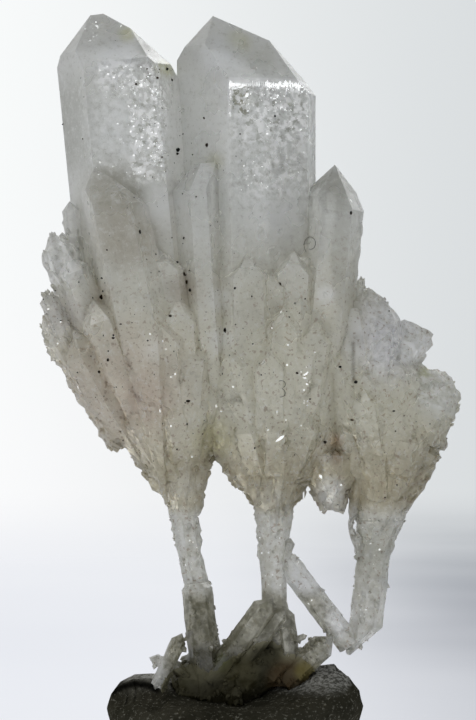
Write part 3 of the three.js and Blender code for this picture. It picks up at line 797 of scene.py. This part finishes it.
# Glinting chips on the front, painted glints that glow: column, row, length and width in millimetres, turn.
GLINT_CHIPS = [
    (280, 439, 1.3, 0.45, 132), (216, 406, 0.5, 0.4, 20), (221, 411, 0.25, 0.2, 0),
    (281, 312, 0.5, 0.22, 20), (305, 378, 0.45, 0.2, 80), (307, 384, 0.35, 0.25, 50),
    (304, 390, 0.3, 0.2, 0), (286, 420, 0.3, 0.2, 10), (171, 426, 0.3, 0.25, 30),
    (150, 334, 0.3, 0.22, 0), (163, 341, 0.3, 0.24, 0), (166, 349, 0.25, 0.15, 0),
    (171, 377, 0.24, 0.2, 0), (175, 374, 0.3, 0.24, 0), (233, 387, 0.3, 0.2, 60),
    (160, 411, 0.6, 0.18, 0), (192, 457, 0.4, 0.2, 20), (304, 403, 0.24, 0.2, 0),
    (277, 412, 0.6, 0.16, 0), (320, 476, 0.7, 0.5, 20), (341, 485, 0.5, 0.3, 50),
    (78, 387, 0.6, 0.2, -20), (268, 430, 0.3, 0.2, -50), (310, 382, 0.3, 0.24, 0),
    (315, 352, 0.3, 0.2, 0), (288, 345, 0.3, 0.24, 0), (287, 365, 0.3, 0.24, 0),
    (272, 328, 0.24, 0.2, 0), (247, 95, 0.7, 0.5, -20), (97, 26, 0.5, 0.3, 60),
    (121, 26, 0.5, 0.2, -10), (96, 22, 0.3, 0.25, 0),
]
CHIP_SEED = 23

# A chip's rim lies this deep under the skin and its middle this high over it, so each is made a bit larger.
CHIP_UNDER = 0.03 * MM
CHIP_OVER = 0.06 * MM
CHIP_SIZE = 1.25

# The broken white edge of the right large crystal, painted as a highlight with glowing chips: its columns,
# its row, how many chips it has, and the columns between which the chips are small.
EDGE_COLUMNS = (230, 311)
EDGE_ROW = 84.2
EDGE_CHIPS = 40
EDGE_GAP = (246, 266)

# Boxes of the front that glitter: left, top, right and bottom in pixels, and how many glints they hold.
GLITTER = [
    (229, 83, 246, 89, 40),
    (266, 83, 312, 90, 90),
    (229, 85, 231, 122, 16),
    (236, 88, 312, 112, 60),
    (236, 112, 312, 190, 44),
    (100, 66, 154, 92, 46),
    (128, 84, 166, 182, 130),
    (94, 92, 132, 178, 18),
    (82, 20, 100, 46, 10),
    (300, 350, 310, 432, 12),
    (48, 290, 74, 345, 14),
    (176, 500, 200, 575, 16),
    (258, 520, 286, 590, 12),
    (358, 525, 384, 630, 16),
    (292, 560, 340, 630, 10),
]


def add_chip(builder, tree, column, row, long, wide, turn):
    """A thin bright chip on the skin, as new faces of a mesh, with its length and width in millimetres."""
    place, normal = front_place(tree, column, row)
    if not place:
        return
    face = normal.to_track_quat("Z", "X").to_matrix().to_4x4()
    shape = Matrix.Translation(place) @ face @ Matrix.Rotation(math.radians(turn), 4, "Z")
    rim = []
    for i in range(CRYSTAL_SIDES):
        angle = i * math.pi / 3 + random.uniform(-0.3, 0.3)
        out = random.uniform(0.7, 1.15) * MM / 2
        rim.append(builder.verts.new(shape @ ring_corner(long * out, wide * out, -CHIP_UNDER, angle)))
    middle = builder.verts.new(shape @ Vector((0, 0, CHIP_OVER)))
    for i in range(CRYSTAL_SIDES):
        builder.faces.new((rim[i], rim[(i + 1) % CRYSTAL_SIDES], middle))


def add_broken_edge(builder, tree):
    """The glowing chips, a painted highlight, along the white broken edge of the right large crystal."""
    for column in np.linspace(*EDGE_COLUMNS, EDGE_CHIPS):
        scale = 0.35 if EDGE_GAP[0] <= column <= EDGE_GAP[1] else 1.0
        long = random.uniform(0.4, 1.1)
        wide = random.uniform(0.12, 0.5) * scale
        turn = random.uniform(-10, 10)
        row = EDGE_ROW + random.uniform(-0.6, 2) * scale
        add_chip(builder, tree, float(column), row, long, wide, turn)


def add_glitter(builder, tree, left, top, right, bottom):
    """One small glint somewhere in a box of the front."""
    long = 0.12 + 0.28 * random.random() ** 2
    wide = long * random.uniform(0.5, 1)
    turn = random.uniform(0, 180)
    column = random.uniform(left, right)
    row = random.uniform(top, bottom)
    add_chip(builder, tree, column, row, long, wide, turn)


def chips(tree):
    """The bright chips and glints of the front, painted glints that glow."""
    random.seed(CHIP_SEED)
    builder = bmesh.new()
    add_broken_edge(builder, tree)
    for column, row, long, wide, turn in GLINT_CHIPS:
        add_chip(builder, tree, column, row, long * CHIP_SIZE, wide * CHIP_SIZE, turn)
    for *box, count in GLITTER:
        for _ in range(count):
            add_glitter(builder, tree, *box)
    return mesh_from("bright_chips", builder)


def glint_chip_material():
    """Painted glints: white chips that glow a little of their own."""
    shader = Shader("glowing_glint_chip")
    white = shader.mix(shader.noise(2000), WHITE, rgb(236, 238, 238))
    shader.set(Base_Color=white, Roughness=0.3, Emission_Color=white, Emission_Strength=0.55)
    return shader.material


# Two curled lint fibres on the front: the pixels that each one passes, how thick they are, and how far they
# stand off the stone.
FIBRES = [
    [
        (279, 381), (283, 380), (286, 383), (285, 387), (281, 388),
        (284, 390), (286, 393), (284, 397), (280, 397),
    ],
    [(306, 252), (303, 246), (305, 239), (310, 236), (315, 239), (316, 245), (313, 250), (309, 249)],
]
FIBRE_RADIUS = 0.035 * MM
FIBRE_OFF = 0.08 * MM


def fibres(tree):
    """Lint that clings to the crystals, as thin tubes."""
    curve = bpy.data.curves.new("lint", "CURVE")
    curve.dimensions = "3D"
    curve.bevel_depth = FIBRE_RADIUS
    curve.bevel_resolution = 1
    for pixels in FIBRES:
        places = [front_place(tree, *pixel)[0] for pixel in pixels]
        places = [place + Vector((0, -FIBRE_OFF, 0)) for place in places if place]
        line = curve.splines.new("NURBS")
        line.points.add(len(places) - 1)
        for point, place in zip(line.points, places):
            point.co = (*place, 1)
        line.order_u = 4
        line.use_endpoint_u = True
    holder = bpy.data.objects.new("lint_curve", curve)
    mesh = bpy.data.meshes.new_from_object(holder)
    bpy.data.objects.remove(holder)
    mesh.name = "lint"
    return mesh


def lint_material():
    """Grey-brown lint."""
    shader = Shader("lint")
    shader.set(Base_Color=shader.mix(shader.noise(3000), rgb(60, 56, 50), rgb(104, 98, 90)), Roughness=0.8)
    return shader.material


# The fold on the left of the putty's front: its pixels, how far its sides are from its middle, how deep it is
# in millimetres, and how many round patches of painted shade darken it, with their radius in pixels.
FOLD = [(112, 693), (122, 687), (134, 684), (146, 685), (157, 689)]
FOLD_REACH = 1.6 * MM
FOLD_DEPTH = 1.4
FOLD_SHADES = 14
FOLD_SHADE_RADIUS = 5.5

# The putty's dents and pits: cells to a metre, and depths in millimetres. A pit is where its noise passes a
# threshold.
DENT_CELLS = 190
DENT_DEPTH = 0.275
SMALL_DENT_CELLS = 700
SMALL_DENT_DEPTH = 0.11
PUTTY_PIT_CELLS = 1300
PUTTY_PIT_THRESHOLD = 0.42

# The putty's relief stays off its underside, and swells it by at most this many millimetres.
UNDERSIDE_HEIGHT = 0.2 * MM
MOST_SWOLLEN = 0.12

# Patches of the putty's front, dust and painted highlight: column, row, radius in pixels. Its top has dust
# and painted highlight over these heights.
PUTTY_DUST_AND_HIGHLIGHT = [(130, 676, 24), (112, 682, 14), (150, 676, 20), (314, 674, 16)]
DUST_AND_HIGHLIGHT_TOP = (6 * MM, 7.6 * MM)


def fold_share(place):
    """1 in the middle of the fold, 0 away from it."""
    if place.y > 0:
        return 0.0
    here = Vector((place.x, place.z))
    nearest = min((here - Vector(spot(*pixel))).length for pixel in FOLD)
    return max(0.0, 1 - (nearest / FOLD_REACH) ** 2)


def refined_putty(node):
    """The putty with finger dents, pits and the fold on its front."""
    builder = refined(node, PUTTY_EDGE)
    for vertex in builder.verts:
        place = vertex.co
        if place.z < UNDERSIDE_HEIGHT:
            continue
        outwards = noise.noise(place * DENT_CELLS) * DENT_DEPTH
        outwards += noise.noise(place * SMALL_DENT_CELLS) * SMALL_DENT_DEPTH
        outwards -= max(0.0, noise.noise(place * PUTTY_PIT_CELLS) - PUTTY_PIT_THRESHOLD)
        outwards -= fold_share(place) * FOLD_DEPTH
        vertex.co = place + vertex.normal * min(outwards, MOST_SWOLLEN) * MM
    mesh = mesh_from("putty", builder)
    mesh.shade_smooth()
    return mesh


def putty_material():
    """Dark grey putty, with dust and painted highlight on its raised places, and nearly black painted shade
    in its fold.
    """
    shader = Shader("dark_putty")
    cloud = shader.noise(160, 5.0, 0.6)
    fine = shader.noise(2400, 3.0, 0.7)
    colour = shader.mix(shader.ramp(cloud, 0.35, 0.65), rgb(40, 39, 31), rgb(58, 56, 47))
    # Patches of dust and painted highlight near the putty's top.
    for patch in PUTTY_DUST_AND_HIGHLIGHT:
        grey = shader.times(shader.near(*patch, 0.8), shader.ramp(fine, 0.35, 0.6, 0.2, 1.0))
        colour = shader.mix(grey, colour, rgb(112, 110, 102))
    colour = shader.mix(shader.ramp(fine, 0.56, 0.66, 0.0, 0.8), colour, rgb(116, 114, 104))
    normal = shader.add("ShaderNodeNewGeometry").outputs["Normal"]
    upwards = shader.add("ShaderNodeSeparateXYZ", Vector=normal).outputs["Z"]
    # Upward faces get dust and a painted highlight.
    dust_and_highlight = shader.times(shader.ramp(upwards, 0.6, 0.95), shader.ramp(fine, 0.4, 0.6, 0.2, 1.0))
    dust_and_highlight = shader.times(dust_and_highlight, shader.ramp(shader.axes["Z"], *DUST_AND_HIGHLIGHT_TOP), 0.85)
    colour = shader.mix(dust_and_highlight, colour, rgb(164, 163, 158))
    # Painted shade darkens the fold.
    columns, rows = zip(*FOLD)
    for column in np.linspace(columns[0], columns[-1], FOLD_SHADES):
        row = np.interp(column, columns, rows)
        shade = shader.near(float(column), float(row), FOLD_SHADE_RADIUS, 0.8)
        colour = shader.mix(shade, colour, rgb(4, 4, 3))
    shader.set(Base_Color=colour, Roughness=shader.ramp(cloud, 0.3, 0.7, 0.7, 0.9))
    shader.set(Specular_IOR_Level=0.0, Normal=shader.bump(fine, 0.8, 0.16 * MM))
    return shader.material


def build_specimen(cluster, lump):
    """The quartz with all that grows on it and clings to it, and the putty, from the two solids."""
    mesh = refined_quartz(cluster)
    tree = skin_tree(mesh)
    olive = root_material()
    quartz = add_object("quartz", mesh, quartz_material())
    paint(mesh, olive)
    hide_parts("quartz_cluster")
    crust = add_object("quartz_crust", druse(cluster), crust_material())
    paint(crust.data, olive)
    add_object("black_specks", grains(cluster, tree), grain_material())
    add_object("bright_chips", chips(tree), glint_chip_material())
    add_object("lint_fibres", fibres(tree), lint_material())
    putty = add_object("putty", refined_putty(lump), putty_material())
    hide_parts("putty_base")


# The floor: its radius and sides, how much it is lit from within, and the distances over which it fades out.
FLOOR_RADIUS = 1.2
FLOOR_SIDES = 96
FLOOR_GLOW = 0.85
FLOOR_FADE = (0.6, 0.05)

# Where the floor's painted shade grows darker to the right, and where its painted light is pale in front of
# the specimen.
FLOOR_SIDE = (-0.01, 0.06)
FLOOR_FRONT = (0.12, 0.03)

# Where the surround changes from left to right and from low to high, as parts of a view direction.
SURROUND_SIDE = (-0.14, 0.14)
SURROUND_RISE = (-0.1, 0.08)

# How much of the surround's brightness falls on the object from the camera's side and from behind, and the
# parts of a direction between which one changes to the other.
FRONT_LIGHT = 0.5
BACK_LIGHT = 0.72
LIGHT_TURN = (-0.6, 0.7)

# Soft round lamps: name, place in metres, size in metres, power in watts. They shine on the spray's middle.
LAMPS = [
    ("key", (-0.35, -0.5, 0.75), 0.3, 0.8),
    ("back", (0.3, 0.7, 0.6), 0.5, 1.5),
]
LAMP_AIM = (0, 0, 50 * MM)


def make_floor():
    """A pale floor that glows with painted light, darker with painted shade to the right, and fades into the
    surround, with no horizon.
    """
    builder = bmesh.new()
    bmesh.ops.create_circle(builder, cap_ends=True, segments=FLOOR_SIDES, radius=FLOOR_RADIUS)
    floor = bpy.data.objects.new("floor", mesh_from("floor", builder))
    bpy.context.scene.collection.objects.link(floor)
    shader = Shader("floor_paint")
    # Painted light of the floor, with painted shade to the right.
    light = shader.mix(shader.ramp(shader.axes["X"], *FLOOR_SIDE), rgb(230, 232, 238), rgb(116, 120, 130))
    paler = shader.ramp(shader.axes["Y"], *FLOOR_FRONT, 0.0, 0.4)
    light = shader.mix(paler, light, rgb(240, 242, 247))
    cloudy = shader.times(shader.ramp(shader.noise(9, 2.0), 0.3, 0.7), 0.25)
    light = shader.mix(cloudy, light, rgb(240, 241, 244))
    shader.set(Base_Color=rgb(120, 122, 126), Roughness=0.9, Specular_IOR_Level=0.0)
    shader.set(Emission_Color=light, Emission_Strength=FLOOR_GLOW)
    distance = shader.add("ShaderNodeVectorMath", {"operation": "LENGTH"}, Vector=shader.place)
    shader.set(Alpha=shader.ramp(distance.outputs["Value"], *FLOOR_FADE))
    floor.data.materials.append(shader.material)


def make_surround():
    """A bright even surround, a little darker on the right, that lights the object less than it shows."""
    world = bpy.data.worlds.new("surround")
    world.use_nodes = True
    bpy.context.scene.world = world
    nodes = Nodes(world.node_tree, "Generated")
    rightwards = nodes.ramp(nodes.axes["X"], *SURROUND_SIDE)
    high = nodes.mix(rightwards, rgb(250, 252, 252), rgb(216, 220, 222))
    low = nodes.mix(rightwards, rgb(253, 253, 254), rgb(214, 218, 220))
    colour = nodes.mix(nodes.ramp(nodes.axes["Z"], *SURROUND_RISE), low, high)
    light = nodes.ramp(nodes.axes["Y"], *LIGHT_TURN, FRONT_LIGHT, BACK_LIGHT)
    shown = nodes.add("ShaderNodeLightPath").outputs["Is Camera Ray"]
    background = world.node_tree.nodes["Background"]
    nodes.plug(colour, background.inputs["Color"])
    nodes.plug(nodes.math("MAXIMUM", light, shown), background.inputs["Strength"])


def make_lamps():
    """The soft lamps over the front and behind."""
    for name, place, size, power in LAMPS:
        light = bpy.data.lights.new(name, "AREA")
        light.shape = "DISK"
        light.size = size
        light.energy = power
        holder = bpy.data.objects.new(name, light)
        holder.location = place
        aim = Vector(LAMP_AIM) - holder.location
        holder.rotation_euler = aim.to_track_quat("-Z", "Y").to_euler()
        bpy.context.scene.collection.objects.link(holder)


def make_camera():
    """The photo's level camera."""
    camera = bpy.data.cameras.new("camera")
    camera.sensor_width = CAMERA_SENSOR
    camera.lens = CAMERA_SENSOR * CAMERA_DISTANCE / (PHOTO_HEIGHT * PIXEL)
    camera.clip_start = CAMERA_NEAREST
    holder = bpy.data.objects.new("camera", camera)
    x, z = spot(*PHOTO_CENTRE)
    level = Matrix.Rotation(math.pi / 2, 4, "X")
    holder.matrix_world = Matrix.Translation((x, -CAMERA_DISTANCE, z)) @ level
    bpy.context.scene.collection.objects.link(holder)
    bpy.context.scene.camera = holder


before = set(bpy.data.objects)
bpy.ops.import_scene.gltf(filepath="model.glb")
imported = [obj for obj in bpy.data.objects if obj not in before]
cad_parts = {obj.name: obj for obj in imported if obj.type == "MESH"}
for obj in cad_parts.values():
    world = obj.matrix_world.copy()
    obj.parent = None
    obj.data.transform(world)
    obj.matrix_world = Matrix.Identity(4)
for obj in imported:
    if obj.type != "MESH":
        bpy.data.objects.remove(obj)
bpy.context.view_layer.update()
build_specimen(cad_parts["quartz_cluster"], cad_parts["putty_base"])
make_floor()
make_surround()
make_lamps()
make_camera()
bpy.context.scene.view_settings.view_transform = "Standard"
bpy.context.view_layer.update()
